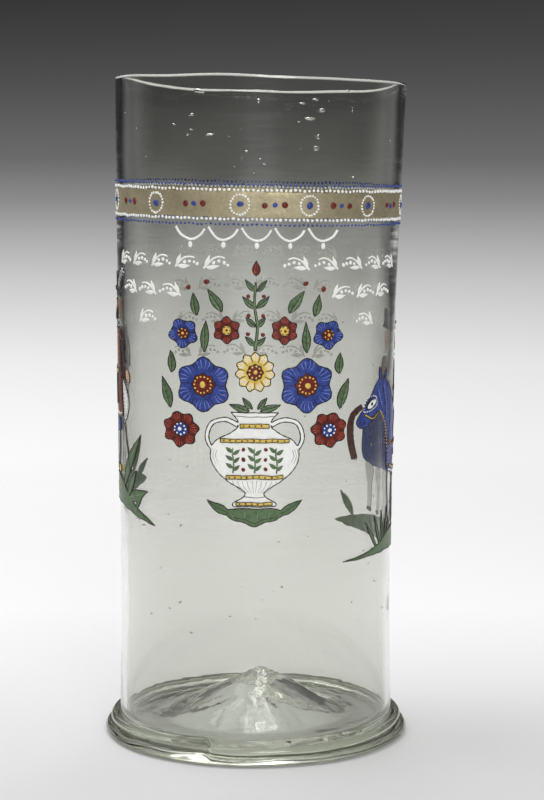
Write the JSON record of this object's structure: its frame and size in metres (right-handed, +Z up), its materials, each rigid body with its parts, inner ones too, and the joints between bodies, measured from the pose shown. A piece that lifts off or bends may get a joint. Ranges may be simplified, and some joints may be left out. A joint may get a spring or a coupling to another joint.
{
  "type": "enamelled glass humpen",
  "caption": "Tall cylindrical blown-glass drinking vessel with a wound foot ring, pushed-in base, gilt dotted band and fired enamel painting.",
  "frame": {"origin": "on the table plane under the middle of the foot ring", "axes": "+Z up along the axis of the vessel, the painted front with the flower vase faces -Y, +X to the right of a viewer of the front"},
  "size_m": [0.141, 0.141, 0.303],
  "materials": {
    "glass": "clear grey-green blown glass with seeds and striae",
    "gilding": "worn matt gold leaf, fired on",
    "enamel_white": "raised glossy enamel",
    "enamel_blue": "raised glossy enamel",
    "enamel_red": "raised glossy enamel",
    "enamel_brown": "raised glossy enamel",
    "enamel_yellow": "raised glossy enamel",
    "enamel_green": "raised glossy enamel",
    "enamel_dark": "raised glossy enamel",
    "enamel_flesh": "raised glossy enamel"
  },
  "bodies": {
    "root": {"glass_body": "glass", "foot_ring": "glass", "foot_trail": "glass", "pontil_scar": "glass", "gilt_band": "gilding", "white_dots_upper": "enamel_white", "white_dots_lower": "enamel_white", "pearl_rings": "enamel_white", "vase": "enamel_white", "garland": "enamel_white", "sprigs": "enamel_white", "sprig_bells": "enamel_white", "back_sprigs": "enamel_white", "back_bells": "enamel_white", "left_linen": "enamel_white", "right_legs": "enamel_white", "blue_dots_upper": "enamel_blue", "blue_dots_lower": "enamel_blue", "ring_bosses": "enamel_blue", "trio_blues": "enamel_blue", "blue_flowers": "enamel_blue", "blue_hearts": "enamel_blue", "left_hose": "enamel_blue", "right_cloth": "enamel_blue", "trio_reds": "enamel_red", "vase_berries": "enamel_red", "red_flowers": "enamel_red", "red_hearts": "enamel_red", "stem_buds": "enamel_red", "left_coat": "enamel_brown", "right_coat": "enamel_brown", "vase_bands": "enamel_yellow", "yellow_flower": "enamel_yellow", "yellow_hearts": "enamel_yellow", "left_gold": "enamel_yellow", "right_gold": "enamel_yellow", "vase_sprigs": "enamel_green", "leaves": "enamel_green", "mound": "enamel_green", "left_ground": "enamel_green", "right_ground": "enamel_green", "left_dark": "enamel_dark", "right_dark": "enamel_dark", "left_skin": "enamel_flesh", "right_skin": "enamel_flesh"}
  },
  "joints": []
}
